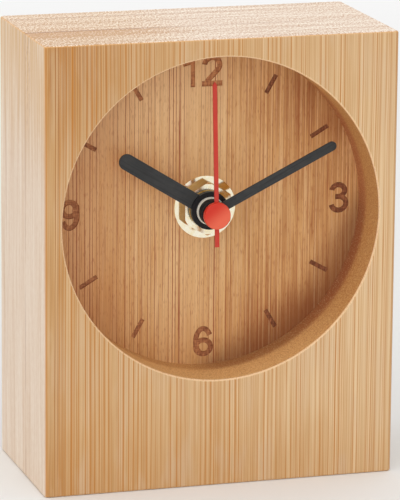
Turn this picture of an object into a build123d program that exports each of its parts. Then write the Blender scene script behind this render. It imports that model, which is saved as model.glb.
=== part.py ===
"""Bamboo table clock with a quartz movement, in millimetres.

Z is up, the front looks towards -Y and the block stands centred on the origin.
A place written as (x, z) is measured from the clock's shaft, as seen from the front.
Angles of the gears turn from +X towards +Z, and angles of the hands clockwise from 12.
"""
import os
from math import acos, cos, pi, radians, sin, tan

from build123d import *

# Block glued from three upright bamboo boards
case_height = 100.0
recess_diameter = 72.0
recess_depth = 14.0
side_margin = 4.0
top_margin = 4.0
dial_web = 3.0
middle_board_thickness = 17.0
back_board_thickness = 6.0
corner_radius = 1.0
edge_radius = 0.5
rim_radius = 0.4
pocket_clearance = 2.0
pocket_corner_radius = 6.0

# Clearances: a radial running fit, a radial press fit and gaps along the shaft
running_gap = 0.08
press_gap = 0.01
axial_gap = 0.3
hub_gap = 0.4

# Threaded bushing and what it clamps to the dial
bushing_diameter = 8.0
bushing_hole_gap = 0.3
bushing_flange_width = 1.2
bushing_flange_thickness = 0.6
bushing_stand_out = 0.2
bushing_chamfer = 0.3
washer_diameter = 14.0
washer_thickness = 0.5
nut_flats = 10.5
nut_thickness = 2.5
nut_chamfer = 0.4
gasket_diameter = 24.0
gasket_thickness = 1.0

# Hands at ten past ten, with gaps from their tips to the wall of the recess
blade_thickness = 0.4
hour_tip_gap = 11.9
hour_hand_width = 3.6
hour_hand_angle = 302.0
hour_hub_wall = 1.1
hour_hub_thickness = 1.2
hour_tube_stand_out = 0.4
minute_tip_gap = 4.5
minute_hand_width = 2.1
minute_hand_angle = 63.7
minute_hub_wall = 0.88
minute_hub_thickness = 2.1
minute_hub_chamfer = 0.25
second_tip_gap = 6.2
second_hand_tail = 7.1
second_hand_width = 0.95
second_hand_point = 0.8
second_hand_angle = -1.4
second_cap_diameter = 6.0
second_cap_thickness = 0.7
second_cap_round = 0.25
second_collar_length = 1.3
second_collar_wall = 0.7

# Shafts
second_arbor_diameter = 1.5
minute_tube_diameter = 4.0
hour_tube_diameter = 6.3
arbor_diameter = 1.0
set_arbor_diameter = 1.8
motion_post_diameter = 1.4
arbor_end_gap = 0.3

# Gear train, with the shape of its teeth in modules
minute_teeth = 64
third_pinion_teeth = 8
third_teeth = 60
second_pinion_teeth = 8
second_teeth = 50
intermediate_pinion_teeth = 10
intermediate_teeth = 48
rotor_pinion_teeth = 8
cannon_teeth = 12
motion_teeth = 36
motion_pinion_teeth = 8
hour_teeth = 32
set_pinion_teeth = 12
pressure_angle = 20.0
addendum_ratio = 0.75
dedendum_ratio = 1.2
thinning_ratio = 0.12
fine_tooth_count = 30
arbor_circle_radius = 11.0
rotor_distance = 7.0
motion_distance = 8.0
third_angle = 160.0
intermediate_angle = 70.0
rotor_angle = 90.0
motion_angle = -15.0
set_angle = 60.0
wheel_thickness = 0.8
pinion_overhang = 0.2
level_gap = 0.8
wheel_hub_wall = 1.0

# Stepping motor
magnet_diameter = 5.2
magnet_length = 2.4
magnet_gap = 0.5
stator_thickness = 1.2
stator_leg_width = 3.0
stator_foot = 4.2
stator_notch = 0.6
stator_web = 0.95
coil_length = 18.0
coil_flange_diameter = 4.2
coil_flange_thickness = 0.6
coil_tube_diameter = 2.8
coil_winding_diameter = 3.9
core_width = 2.0
core_thickness = 0.8
coil_margin = 0.3

# Circuit board
board_height = 11.4
board_thickness = 0.8
board_margin = 0.4
board_gap = 2.0
crystal_diameter = 2.0
crystal_length = 6.0
chip_side = 3.6
chip_thickness = 1.0

# Battery and contacts
battery_length = 50.5
battery_diameter = 14.2
battery_edge = 0.5
battery_nub_diameter = 5.5
battery_nub_length = 1.2
battery_gap = 0.3
contact_space = 1.55
contact_thickness = 0.3
contact_gap = 0.15
contact_height = 6.0
contact_half_length = 4.2
strip_width = 2.0
cradle_height = 3.0
cradle_offset = 15.0

# Movement case
housing_wall = 1.2
housing_corner_radius = 2.5
partition_wall = 1.0
partition_gap = 1.0
cover_thickness = 1.2
cover_clearance = 0.8
cover_lip = 1.0
lug_width = 4.0
lug_offset = 10.0
finger_notch_width = 16.0
finger_notch_depth = 6.0
boss_height = 1.0
boss_diameter = 3.0
post_diameter = 2.8
pin_diameter = 1.2
bridge_thickness = 1.0
bridge_arm_width = 4.0
bridge_gap = 0.4
post_gap = 1.2
left_post_angle = 240.0
low_post_angle = -24.0
knob_diameter = 12.0
knob_height = 4.0
knob_dish_depth = 0.5
knob_dish_gap = 0.6
knob_flutes = 20
knob_flute_diameter = 1.4
knob_edge = 0.4


def point_at(direction, distance, start=(0.0, 0.0)):
    """Place (x, z) that lies in a direction from a start."""
    turn = radians(direction)
    return (start[0] + distance * cos(turn), start[1] + distance * sin(turn))


def opposite(angle):
    return angle + 180


def module_of(distance, teeth, other_teeth):
    return 2 * distance / (teeth + other_teeth)


def tip_radius(teeth, module):
    return teeth * module / 2 + addendum_ratio * module


def root_radius(teeth, module):
    return teeth * module / 2 - dedendum_ratio * module


# Block and hands
case_width = recess_diameter + 2 * side_margin
front_board_thickness = recess_depth + dial_web
case_depth = front_board_thickness + middle_board_thickness + back_board_thickness
shaft_height = case_height - top_margin - recess_diameter / 2
hour_hand_length = recess_diameter / 2 - hour_tip_gap
minute_hand_length = recess_diameter / 2 - minute_tip_gap
second_hand_length = recess_diameter / 2 - second_tip_gap

# Gears and their axes
minute_module = module_of(arbor_circle_radius, minute_teeth, third_pinion_teeth)
third_module = module_of(arbor_circle_radius, third_teeth, second_pinion_teeth)
second_module = module_of(arbor_circle_radius, second_teeth, intermediate_pinion_teeth)
intermediate_module = module_of(rotor_distance, intermediate_teeth, rotor_pinion_teeth)
motion_module = module_of(motion_distance, motion_teeth, cannon_teeth)
hour_module = module_of(motion_distance, hour_teeth, motion_pinion_teeth)
set_distance = motion_module * (motion_teeth + set_pinion_teeth) / 2
shaft = (0.0, 0.0)
third_axis = point_at(third_angle, arbor_circle_radius)
intermediate_axis = point_at(intermediate_angle, arbor_circle_radius)
rotor_axis = point_at(rotor_angle, rotor_distance, intermediate_axis)
motion_axis = point_at(motion_angle, motion_distance)
set_axis = point_at(set_angle, set_distance, motion_axis)

# Movement case: the battery sets its width, and the train and the bay its height
inner_half = battery_length / 2 + contact_space
movement_half = inner_half + housing_wall
partition_top = -tip_radius(minute_teeth, minute_module) - partition_gap
bay_top = partition_top - partition_wall
inner_foot = bay_top - battery_diameter - 2 * battery_gap
movement_foot = inner_foot - housing_wall
rotor_hole_diameter = magnet_diameter + 2 * magnet_gap
stator_foot_z = rotor_axis[1] - stator_foot
window_z = rotor_axis[1] + rotor_hole_diameter / 2 + stator_notch + stator_web
coil_z = window_z + coil_margin + coil_flange_diameter / 2
stator_top_z = coil_z + coil_flange_diameter / 2
inner_top = stator_top_z + coil_margin
movement_top = inner_top + housing_wall
movement_height = movement_top - movement_foot
movement_middle = (0.0, (movement_top + movement_foot) / 2)
cover_height = movement_top - bay_top
cover_middle = (0.0, (movement_top + bay_top) / 2)

# Stepping motor, circuit board, battery and posts
coil_half = coil_length / 2
stator_half = coil_half + coil_margin + stator_leg_width
leg_offset = stator_half - stator_leg_width / 2
stator_left = rotor_axis[0] - stator_half
stator_right = rotor_axis[0] + stator_half
board_left = board_margin - inner_half
board_width = stator_left - board_gap - board_left
board_centre = (board_left + board_width / 2, inner_top - board_margin - board_height / 2)
board_foot_z = board_centre[1] - board_height / 2
battery_z = bay_top - battery_gap - battery_diameter / 2
post_reach = post_gap + post_diameter / 2
bridge_posts = [
    point_at(left_post_angle, tip_radius(third_teeth, third_module) + post_reach, third_axis),
    point_at(low_post_angle, tip_radius(motion_teeth, motion_module) + post_reach, motion_axis),
    (stator_right + post_reach, stator_foot_z),
]
stator_posts = [(rotor_axis[0] + side * leg_offset, coil_z) for side in (-1, 1)]
board_posts = [
    (board_centre[0] + side * (board_width - post_diameter) / 2, board_centre[1])
    for side in (-1, 1)
]

# Planes along Y, from the front of the case to its back
front_y = -case_depth / 2
dial_y = front_y + recess_depth
pocket_y = front_y + front_board_thickness
back_joint_y = pocket_y + middle_board_thickness
back_y = case_depth / 2
washer_y = dial_y - washer_thickness
nut_y = washer_y - nut_thickness
bushing_y = nut_y - bushing_stand_out
hour_hub_y = bushing_y - axial_gap
hour_tube_y = hour_hub_y - hour_hub_thickness - hour_tube_stand_out
minute_hub_y = hour_tube_y - hub_gap
minute_tube_y = minute_hub_y - minute_hub_thickness
second_collar_y = minute_tube_y - hub_gap
second_blade_y = second_collar_y - second_collar_length
housing_front_y = pocket_y + gasket_thickness
housing_inner_y = housing_front_y + housing_wall
hour_wheel_y = housing_inner_y + axial_gap
cannon_y = hour_wheel_y + wheel_thickness + axial_gap
motion_wheel_y = cannon_y + pinion_overhang
minute_wheel_y = motion_wheel_y + wheel_thickness + axial_gap + pinion_overhang
third_wheel_y = minute_wheel_y + wheel_thickness + level_gap
second_wheel_y = third_wheel_y + wheel_thickness + level_gap
intermediate_wheel_y = second_wheel_y + wheel_thickness + level_gap
magnet_y = intermediate_wheel_y + wheel_thickness + axial_gap + pinion_overhang
stator_y = magnet_y + (magnet_length - stator_thickness) / 2
core_y = stator_y + stator_thickness
bridge_y = magnet_y + magnet_length + bridge_gap
cover_y = bridge_y + bridge_thickness + cover_clearance
housing_back_y = cover_y + cover_thickness
board_y = stator_y
board_back_y = board_y + board_thickness
battery_y = housing_inner_y + battery_gap + battery_diameter / 2
knob_y = housing_back_y - knob_dish_depth + axial_gap
arbor_front_y = housing_inner_y - housing_wall / 2 + arbor_end_gap
arbor_back_y = bridge_y + bridge_thickness
core_axis_y = core_y + core_thickness / 2
strip_span = (board_back_y, board_back_y + strip_width)


def shaft_plane(y, at=shaft):
    """Plane across the shaft whose X and Y run along the clock's X and Z."""
    return Plane(origin=(at[0], y, shaft_height + at[1]), x_dir=(1, 0, 0), z_dir=(0, -1, 0))


def slab(sketch, front, back, at=shaft):
    """Flat piece of a sketch between two planes across the shaft."""
    return extrude(shaft_plane(back, at) * sketch, amount=back - front)


def disc(diameter, front, back, at=shaft):
    return slab(Circle(diameter / 2), front, back, at)


def tube(diameter, bore, front, back, at=shaft):
    return slab(Circle(diameter / 2) - Circle(bore / 2), front, back, at)


def box(x_span, y_span, z_span):
    """Block between two places on each axis, with z measured from the shaft."""
    size = [high - low for low, high in (x_span, y_span, z_span)]
    middle = [(low + high) / 2 for low, high in (x_span, y_span, z_span)]
    return Pos(middle[0], middle[1], middle[2] + shaft_height) * Box(*size)


def rod_along_x(diameter, left, right, y, z):
    middle = Pos((left + right) / 2, y, z + shaft_height)
    return middle * Rot(0, 90, 0) * Cylinder(diameter / 2, right - left)


def round_edges(solid, radius, y):
    """Solid with its round edges near one plane across the shaft filleted."""
    edges = solid.edges().filter_by(GeomType.CIRCLE).filter_by_position(Axis.Y, y - 0.01, y + 0.01)
    return fillet(edges, radius)


def involute(angle):
    return tan(angle) - angle


def gear(teeth, module, first_tooth=0.0):
    """Outline of a spur gear with one tooth centred on an angle in degrees."""
    pitch_radius = teeth * module / 2
    base_radius = pitch_radius * cos(radians(pressure_angle))
    pitch_half_angle = pi / 2 / teeth * (1 - thinning_ratio)
    base_half_angle = pitch_half_angle + involute(radians(pressure_angle))

    def half_angle(radius):
        return base_half_angle - involute(acos(min(1.0, base_radius / radius)))

    radii = [root_radius(teeth, module), pitch_radius, tip_radius(teeth, module)]
    if teeth >= fine_tooth_count:
        radii.remove(pitch_radius)
    points = []
    for tooth in range(teeth):
        centre = radians(first_tooth) + 2 * pi * tooth / teeth
        flank = [(radius, centre - half_angle(radius)) for radius in radii]
        flank += [(radius, centre + half_angle(radius)) for radius in reversed(radii)]
        points += [(radius * cos(angle), radius * sin(angle)) for radius, angle in flank]
    return make_face(Polyline(*points, close=True))


def meshing_angle(teeth, direction, other_teeth, other_first_tooth=0.0):
    """First-tooth angle of a gear that meshes with another, from which it lies in a direction."""
    phase = (direction - other_first_tooth) * other_teeth / 360
    return opposite(direction) - (0.5 - phase) * 360 / teeth


def spoke_holes(teeth, module, hub_diameter, count):
    """Round holes between the hub and the rim of a wheel."""
    rim = root_radius(teeth, module) - wheel_hub_wall
    hub = hub_diameter / 2 + wheel_hub_wall
    diameter = min(rim - hub, pi * (rim + hub) / count - wheel_hub_wall)
    return PolarLocations((rim + hub) / 2, count) * Circle(diameter / 2)


motion_first_tooth = meshing_angle(motion_teeth, motion_angle, cannon_teeth)


def case_boards():
    """Three boards, cut from one eased block with the recess and the pocket in it."""
    block = Pos(0, 0, case_height / 2) * Box(case_width, case_depth, case_height)
    block = fillet(block.edges().filter_by(Axis.Z), corner_radius)
    flat_ends = block.faces().filter_by(Axis.Z)
    block = fillet(flat_ends.edges(), edge_radius)
    block -= disc(recess_diameter, front_y, dial_y)
    block = round_edges(block, rim_radius, front_y)
    block -= disc(bushing_diameter + 2 * bushing_hole_gap, dial_y, pocket_y)
    pocket_width = 2 * (movement_half + pocket_clearance)
    pocket_height = movement_height + 2 * pocket_clearance
    pocket = RectangleRounded(pocket_width, pocket_height, pocket_corner_radius)
    block -= slab(pocket, pocket_y, back_y, movement_middle)
    joints = [front_y, pocket_y, back_joint_y, back_y]
    whole = Rectangle(2 * case_width, 3 * case_height)
    return [block & slab(whole, front, back) for front, back in zip(joints, joints[1:])]


def threaded_bushing():
    flange_diameter = bushing_diameter + 2 * bushing_flange_width
    bushing = disc(bushing_diameter, bushing_y, housing_inner_y)
    bushing = chamfer(bushing.edges().sort_by(Axis.Y)[0], bushing_chamfer)
    bushing += disc(flange_diameter, housing_inner_y - bushing_flange_thickness, housing_inner_y)
    return bushing - disc(hour_tube_diameter + 2 * running_gap, bushing_y, housing_inner_y)


def brass_washer():
    return tube(washer_diameter, bushing_diameter + 2 * running_gap, washer_y, dial_y)


def hex_nut():
    """Nut with a point upwards and its front corners turned off."""
    corner_diameter = nut_flats / cos(pi / 6)
    blank = disc(corner_diameter, nut_y, washer_y)
    blank = chamfer(blank.edges().sort_by(Axis.Y)[0], nut_chamfer)
    hexagon = RegularPolygon(nut_flats / 2, 6, major_radius=False, rotation=30)
    nut = blank & slab(hexagon, nut_y, washer_y)
    return nut - disc(bushing_diameter + 2 * running_gap, nut_y, washer_y)


def rubber_gasket():
    bore = bushing_diameter + 2 * bushing_hole_gap
    return tube(gasket_diameter, bore, pocket_y, housing_front_y)


def hand_blade(width, length, angle, front):
    """Straight blade with a round end, from the shaft to its length."""
    straight = length - width / 2
    outline = Pos(0, straight / 2) * Rectangle(width, straight) + Pos(0, straight) * Circle(width / 2)
    return slab(Rot(0, 0, -angle) * outline, front, front + blade_thickness)


def hour_hand():
    bore = hour_tube_diameter + 2 * press_gap
    hub_front = hour_hub_y - hour_hub_thickness
    blade_front = hub_front + (hour_hub_thickness - blade_thickness) / 2
    hand = hand_blade(hour_hand_width, hour_hand_length, hour_hand_angle, blade_front)
    hand += disc(bore + 2 * hour_hub_wall, hub_front, hour_hub_y)
    return hand - disc(bore, hub_front, hour_hub_y)


def minute_hand():
    bore = minute_tube_diameter + 2 * press_gap
    hub = disc(bore + 2 * minute_hub_wall, minute_tube_y, minute_hub_y)
    hub = chamfer(hub.edges().sort_by(Axis.Y)[0], minute_hub_chamfer)
    blade_front = minute_tube_y + (minute_hub_thickness - blade_thickness) / 2
    hub += hand_blade(minute_hand_width, minute_hand_length, minute_hand_angle, blade_front)
    return hub - disc(bore, minute_tube_y, minute_hub_y)


def second_hand():
    """Thin blade with a tail, a round cap in front and a collar that grips the arbor."""
    bore = second_arbor_diameter + 2 * press_gap
    half = second_hand_width / 2
    shoulder = second_hand_length - second_hand_point
    outline = make_face(
        Polyline(
            (-half, -second_hand_tail),
            (half, -second_hand_tail),
            (half, shoulder),
            (0, second_hand_length),
            (-half, shoulder),
            close=True,
        )
    )
    blade_front = second_blade_y - blade_thickness
    cap_front = blade_front - second_cap_thickness
    cap = disc(second_cap_diameter, cap_front, second_blade_y)
    hand = round_edges(cap, second_cap_round, cap_front)
    hand += slab(Rot(0, 0, -second_hand_angle) * outline, blade_front, second_blade_y)
    hand += disc(bore + 2 * second_collar_wall, second_blade_y, second_collar_y)
    return hand - disc(bore, second_blade_y, second_collar_y)


def hour_wheel():
    bore = minute_tube_diameter + 2 * running_gap
    back = hour_wheel_y + wheel_thickness
    first_tooth = meshing_angle(hour_teeth, opposite(motion_angle), motion_pinion_teeth)
    wheel = slab(gear(hour_teeth, hour_module, first_tooth), hour_wheel_y, back)
    wheel += disc(hour_tube_diameter, hour_tube_y, back)
    return wheel - disc(bore, hour_tube_y, back)


def minute_wheel():
    """Minute wheel, the cannon pinion in front of it and the tube that carries the hand."""
    bore = second_arbor_diameter + 2 * running_gap
    back = minute_wheel_y + wheel_thickness
    outline = gear(minute_teeth, minute_module)
    outline -= spoke_holes(minute_teeth, minute_module, minute_tube_diameter, 5)
    wheel = slab(outline, minute_wheel_y, back)
    wheel += slab(gear(cannon_teeth, motion_module), cannon_y, minute_wheel_y)
    wheel += disc(minute_tube_diameter, minute_tube_y, cannon_y)
    return wheel - disc(bore, minute_tube_y, back)


def second_wheel():
    """Second wheel and pinion on the arbor that carries the second hand."""
    pinion_y = third_wheel_y - pinion_overhang
    back = second_wheel_y + wheel_thickness
    first_tooth = meshing_angle(second_pinion_teeth, opposite(third_angle), third_teeth)
    outline = gear(second_teeth, second_module)
    outline -= spoke_holes(second_teeth, second_module, second_arbor_diameter, 5)
    wheel = slab(outline, second_wheel_y, back)
    wheel += slab(gear(second_pinion_teeth, third_module, first_tooth), pinion_y, second_wheel_y)
    return wheel + disc(second_arbor_diameter, second_blade_y, arbor_back_y)


def pinion_and_wheel(wheel_outline, wheel_y, pinion_outline, pinion_y, axis):
    """Wheel with a pinion in front of it on an arbor that runs between the two pivots."""
    wheel = slab(wheel_outline, wheel_y, wheel_y + wheel_thickness, axis)
    wheel += slab(pinion_outline, pinion_y, wheel_y, axis)
    return wheel + disc(arbor_diameter, arbor_front_y, arbor_back_y, axis)


def third_wheel():
    first_tooth = meshing_angle(third_pinion_teeth, third_angle, minute_teeth)
    pinion = gear(third_pinion_teeth, minute_module, first_tooth)
    outline = gear(third_teeth, third_module)
    outline -= spoke_holes(third_teeth, third_module, boss_diameter, 5)
    pinion_y = minute_wheel_y - pinion_overhang
    return pinion_and_wheel(outline, third_wheel_y, pinion, pinion_y, third_axis)


def intermediate_wheel():
    first_tooth = meshing_angle(intermediate_pinion_teeth, intermediate_angle, second_teeth)
    pinion = gear(intermediate_pinion_teeth, second_module, first_tooth)
    outline = gear(intermediate_teeth, intermediate_module)
    pinion_y = second_wheel_y - pinion_overhang
    return pinion_and_wheel(outline, intermediate_wheel_y, pinion, pinion_y, intermediate_axis)


def rotor_pinion():
    first_tooth = meshing_angle(rotor_pinion_teeth, rotor_angle, intermediate_teeth)
    outline = gear(rotor_pinion_teeth, intermediate_module, first_tooth)
    pinion = slab(outline, intermediate_wheel_y - pinion_overhang, magnet_y, rotor_axis)
    return pinion + disc(arbor_diameter, arbor_front_y, arbor_back_y, rotor_axis)


def rotor_magnet():
    bore = arbor_diameter + 2 * press_gap
    return tube(magnet_diameter, bore, magnet_y, magnet_y + magnet_length, rotor_axis)


def motion_wheel():
    """Wheel driven by the cannon pinion, with the pinion that drives the hour wheel."""
    back = motion_wheel_y + wheel_thickness
    outline = gear(motion_teeth, motion_module, motion_first_tooth)
    outline -= spoke_holes(motion_teeth, motion_module, boss_diameter, 4)
    wheel = slab(outline, motion_wheel_y, back, motion_axis)
    wheel += slab(gear(motion_pinion_teeth, hour_module), hour_wheel_y, motion_wheel_y, motion_axis)
    return wheel - disc(motion_post_diameter + 2 * running_gap, hour_wheel_y, back, motion_axis)


def set_pinion():
    first_tooth = meshing_angle(set_pinion_teeth, set_angle, motion_teeth, motion_first_tooth)
    back = motion_wheel_y + wheel_thickness + pinion_overhang
    outline = gear(set_pinion_teeth, motion_module, first_tooth)
    pinion = slab(outline, motion_wheel_y - pinion_overhang, back, set_axis)
    return pinion + disc(set_arbor_diameter, arbor_front_y, knob_y + knob_height / 2, set_axis)


def set_knob():
    back = knob_y + knob_height
    knob = disc(knob_diameter, knob_y, back, set_axis)
    knob = chamfer(knob.edges().sort_by(Axis.Y)[-1], knob_edge)
    flutes = PolarLocations(knob_diameter / 2, knob_flutes) * Circle(knob_flute_diameter / 2)
    knob &= slab(Circle(knob_diameter / 2) - flutes, knob_y, back, set_axis)
    bore = set_arbor_diameter + 2 * press_gap
    return knob - disc(bore, knob_y, knob_y + knob_height / 2, set_axis)


def stator():
    """Flat steel U: the rotor turns in its foot and the coil lies between its legs."""
    span = (stator_y, core_y)
    plate = box((stator_left, stator_right), span, (stator_foot_z, stator_top_z))
    window = (stator_left + stator_leg_width, stator_right - stator_leg_width)
    plate -= box(window, span, (window_z, stator_top_z))
    plate -= disc(rotor_hole_diameter, stator_y, core_y, rotor_axis)
    for side in (-1, 1):
        notch = point_at(90 * side, rotor_hole_diameter / 2, rotor_axis)
        plate -= disc(2 * stator_notch, stator_y, core_y, notch)
    for post in stator_posts:
        plate -= disc(pin_diameter + 2 * running_gap, stator_y, core_y, post)
    return plate


def coil_core():
    z_span = (coil_z - core_width / 2, coil_z + core_width / 2)
    core = box((stator_left, stator_right), (core_y, core_y + core_thickness), z_span)
    for post in stator_posts:
        core -= disc(pin_diameter + 2 * running_gap, core_y, core_y + core_thickness, post)
    return core


def coil_rod(diameter, left, right):
    return rod_along_x(diameter, rotor_axis[0] + left, rotor_axis[0] + right, core_axis_y, coil_z)


def coil_bobbin():
    bobbin = coil_rod(coil_tube_diameter, -coil_half, coil_half)
    for left in (-coil_half, coil_half - coil_flange_thickness):
        bobbin += coil_rod(coil_flange_diameter, left, left + coil_flange_thickness)
    slot = Box(coil_length, core_thickness + 2 * press_gap, core_width + 2 * press_gap)
    return bobbin - Pos(rotor_axis[0], core_axis_y, coil_z + shaft_height) * slot


def coil_winding():
    half = coil_half - coil_flange_thickness
    winding = coil_rod(coil_winding_diameter, -half, half)
    return winding - coil_rod(coil_tube_diameter + 2 * press_gap, -half, half)


def circuit_board():
    board = slab(Rectangle(board_width, board_height), board_y, board_back_y, board_centre)
    for post in board_posts:
        board -= disc(pin_diameter + 2 * running_gap, board_y, board_back_y, post)
    return board


def quartz_crystal():
    left = board_centre[0] - crystal_length / 2
    y = board_back_y + crystal_diameter / 2
    z = board_centre[1] + board_height / 4
    crystal = rod_along_x(crystal_diameter, left, left + crystal_length, y, z)
    return fillet(crystal.edges().sort_by(Axis.X)[0], crystal_diameter / 5)


def clock_chip():
    at = (board_centre[0], board_centre[1] - board_height / 4)
    chip = slab(Rectangle(chip_side, chip_side), board_back_y, board_back_y + chip_thickness, at)
    return chamfer(chip.faces().sort_by(Axis.Y)[-1].edges(), chip_thickness / 3)


def battery_cell():
    """Dry cell lying across the bay, with its nub to the right."""
    end = battery_length / 2
    cell = rod_along_x(battery_diameter, -end, end - battery_nub_length, battery_y, battery_z)
    ends = cell.edges().filter_by(GeomType.CIRCLE)
    cell = fillet(ends, battery_edge)
    nub = rod_along_x(battery_nub_diameter, 0, end, battery_y, battery_z)
    nub = fillet(nub.edges().sort_by(Axis.X)[-1], battery_edge)
    return cell + nub


def contact_leaf(side):
    """Bowed leaf that stands on a side wall of the bay and reaches to the battery's end."""
    wall = side * inner_half
    crown = side * (battery_length / 2 + contact_gap)
    back_of_leaf = side * contact_thickness
    low, high = battery_y - contact_half_length, battery_y + contact_half_length
    leaf = make_face(
        ThreePointArc((wall - back_of_leaf, low), (crown, battery_y), (wall - back_of_leaf, high))
        + Line((wall - back_of_leaf, high), (wall, high))
        + ThreePointArc((wall, high), (crown + back_of_leaf, battery_y), (wall, low))
        + Line((wall, low), (wall - back_of_leaf, low))
    )
    bottom = Plane.XY.offset(shaft_height + battery_z - contact_height / 2)
    return extrude(bottom * leaf, amount=contact_height)


def negative_contact():
    """Leaf at the left of the bay, with a strip up the wall to the circuit board."""
    wall = (-inner_half, contact_thickness - inner_half)
    contact = contact_leaf(-1)
    contact += box(wall, strip_span, (battery_z, board_foot_z + strip_width))
    tab_y = (board_back_y, board_back_y + contact_thickness)
    tab_x = (-inner_half, board_margin + strip_width - inner_half)
    return contact + box(tab_x, tab_y, (board_foot_z, board_foot_z + strip_width))


def positive_contact():
    """Leaf at the right of the bay, with a strip along the partition to the circuit board."""
    wall = (inner_half - contact_thickness, inner_half)
    shelf = (partition_top, partition_top + contact_thickness)
    rise_x = board_margin + strip_width + contact_thickness - inner_half
    contact = contact_leaf(1)
    contact += box(wall, strip_span, (battery_z, shelf[1]))
    contact += box((rise_x, inner_half), strip_span, shelf)
    rise = (rise_x, rise_x + contact_thickness)
    return contact + box(rise, strip_span, (partition_top, board_foot_z + strip_width))


def pinned_post(at, shoulder_y, pin_y):
    """Post on the housing's front wall with a thinner pin through the piece that it carries."""
    return disc(post_diameter, housing_inner_y, shoulder_y, at) + disc(pin_diameter, shoulder_y, pin_y, at)


def cover_lugs(gap=0.0):
    """Snap lugs on the side walls, or with a gap the notches that they fill in the cover."""
    half = lug_width / 2 + gap
    lugs = []
    for z in (cover_middle[1] - lug_offset, cover_middle[1] + lug_offset):
        for x_span in ((-movement_half, gap - inner_half), (inner_half - gap, movement_half)):
            lugs.append(box(x_span, (cover_y, housing_back_y), (z - half, z + half)))
    return lugs


def movement_housing():
    """Square shell: the train behind its front wall and the battery bay along its foot."""
    outside = RectangleRounded(2 * movement_half, movement_height, housing_corner_radius)
    inner_corner = housing_corner_radius - housing_wall
    inside = RectangleRounded(2 * inner_half, inner_top - inner_foot, inner_corner)
    housing = slab(outside, housing_front_y, housing_back_y, movement_middle)
    housing -= slab(inside, housing_inner_y, housing_back_y, movement_middle)
    train_span = (bay_top, movement_top)
    housing -= box((-movement_half, movement_half), (cover_y, housing_back_y), train_span)
    housing += cover_lugs()
    notch_x = (-finger_notch_width / 2, finger_notch_width / 2)
    notch_y = (housing_back_y - finger_notch_depth, housing_back_y)
    housing -= box(notch_x, notch_y, (movement_foot, inner_foot))
    partition = box((-inner_half, inner_half), (housing_inner_y, cover_y), (bay_top, partition_top))
    notch_width = contact_thickness + axial_gap
    for left in (-inner_half, inner_half - notch_width):
        notch = (left, left + notch_width)
        partition -= box(notch, (board_back_y - axial_gap, cover_y), (bay_top, partition_top))
    housing += partition
    bosses = [third_axis, intermediate_axis, rotor_axis, set_axis]
    housing += [disc(boss_diameter, housing_inner_y, housing_inner_y + boss_height, at) for at in bosses]
    motion_post_back = motion_wheel_y + wheel_thickness + pinion_overhang
    housing += disc(motion_post_diameter, housing_inner_y, motion_post_back, motion_axis)
    housing += [pinned_post(at, bridge_y, arbor_back_y) for at in bridge_posts]
    housing += [pinned_post(at, stator_y, core_y + core_thickness) for at in stator_posts]
    housing += [pinned_post(at, board_y, board_back_y) for at in board_posts]
    hollow = rod_along_x(
        battery_diameter + 2 * battery_gap, -inner_half, inner_half, battery_y, battery_z
    )
    for offset in (-cradle_offset, cradle_offset):
        rib_x = (offset - housing_wall / 2, offset + housing_wall / 2)
        rib_y = (housing_inner_y, housing_inner_y + cradle_height)
        housing += box(rib_x, rib_y, (inner_foot, bay_top)) - hollow
    arbors = [(third_axis, arbor_diameter), (intermediate_axis, arbor_diameter)]
    arbors += [(rotor_axis, arbor_diameter), (set_axis, set_arbor_diameter)]
    for at, diameter in arbors:
        pivot = diameter + 2 * running_gap
        housing -= disc(pivot, arbor_front_y - arbor_end_gap, housing_inner_y + boss_height, at)
    flange = bushing_diameter + 2 * (bushing_flange_width + press_gap)
    housing -= disc(flange, housing_inner_y - bushing_flange_thickness, housing_inner_y)
    return housing - disc(bushing_diameter + 2 * press_gap, housing_front_y, housing_inner_y)


def movement_cover():
    """Back plate over the train, with a lip inside the walls and a dish for the knob."""
    plate = Rectangle(2 * movement_half, cover_height)
    cover = slab(plate, cover_y, housing_back_y, cover_middle)
    corners = cover.edges().filter_by(Axis.Y).group_by(Axis.Z)[-1]
    cover = fillet(corners, housing_corner_radius)
    lip_width = 2 * (inner_half - axial_gap)
    lip_height = inner_top - partition_top - 2 * axial_gap
    lip_middle = (0.0, (inner_top + partition_top) / 2)
    lip = RectangleRounded(lip_width, lip_height, housing_corner_radius - housing_wall)
    lip -= Rectangle(lip_width - 2 * cover_lip, lip_height - 2 * cover_lip)
    cover += slab(lip, cover_y - cover_clearance / 2, cover_y, lip_middle)
    cover -= cover_lugs(running_gap)
    dish = knob_diameter + 2 * knob_dish_gap
    cover -= disc(dish, housing_back_y - knob_dish_depth, housing_back_y, set_axis)
    return cover - disc(set_arbor_diameter + 2 * running_gap, cover_y, housing_back_y, set_axis)


def bridge_arm(start, end):
    """Flat bar with round ends between two places."""
    bar = make_hull(
        (Pos(*start) * Circle(bridge_arm_width / 2)).edges()
        + (Pos(*end) * Circle(bridge_arm_width / 2)).edges()
    )
    return slab(bar, bridge_y, arbor_back_y)


def train_bridge():
    """Plate of bars between three posts, with the rear pivots of the train."""
    left_post, low_post, right_post = bridge_posts
    bridge = bridge_arm(left_post, third_axis)
    bridge += bridge_arm(third_axis, shaft)
    bridge += bridge_arm(shaft, low_post)
    bridge += bridge_arm(shaft, intermediate_axis)
    bridge += bridge_arm(intermediate_axis, rotor_axis)
    bridge += bridge_arm(intermediate_axis, right_post)
    for axis in (third_axis, intermediate_axis, rotor_axis):
        bridge -= disc(arbor_diameter + 2 * running_gap, bridge_y, arbor_back_y, axis)
    for post in bridge_posts:
        bridge -= disc(pin_diameter + 2 * running_gap, bridge_y, arbor_back_y, post)
    return bridge - disc(second_arbor_diameter + 2 * running_gap, bridge_y, arbor_back_y)


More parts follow.
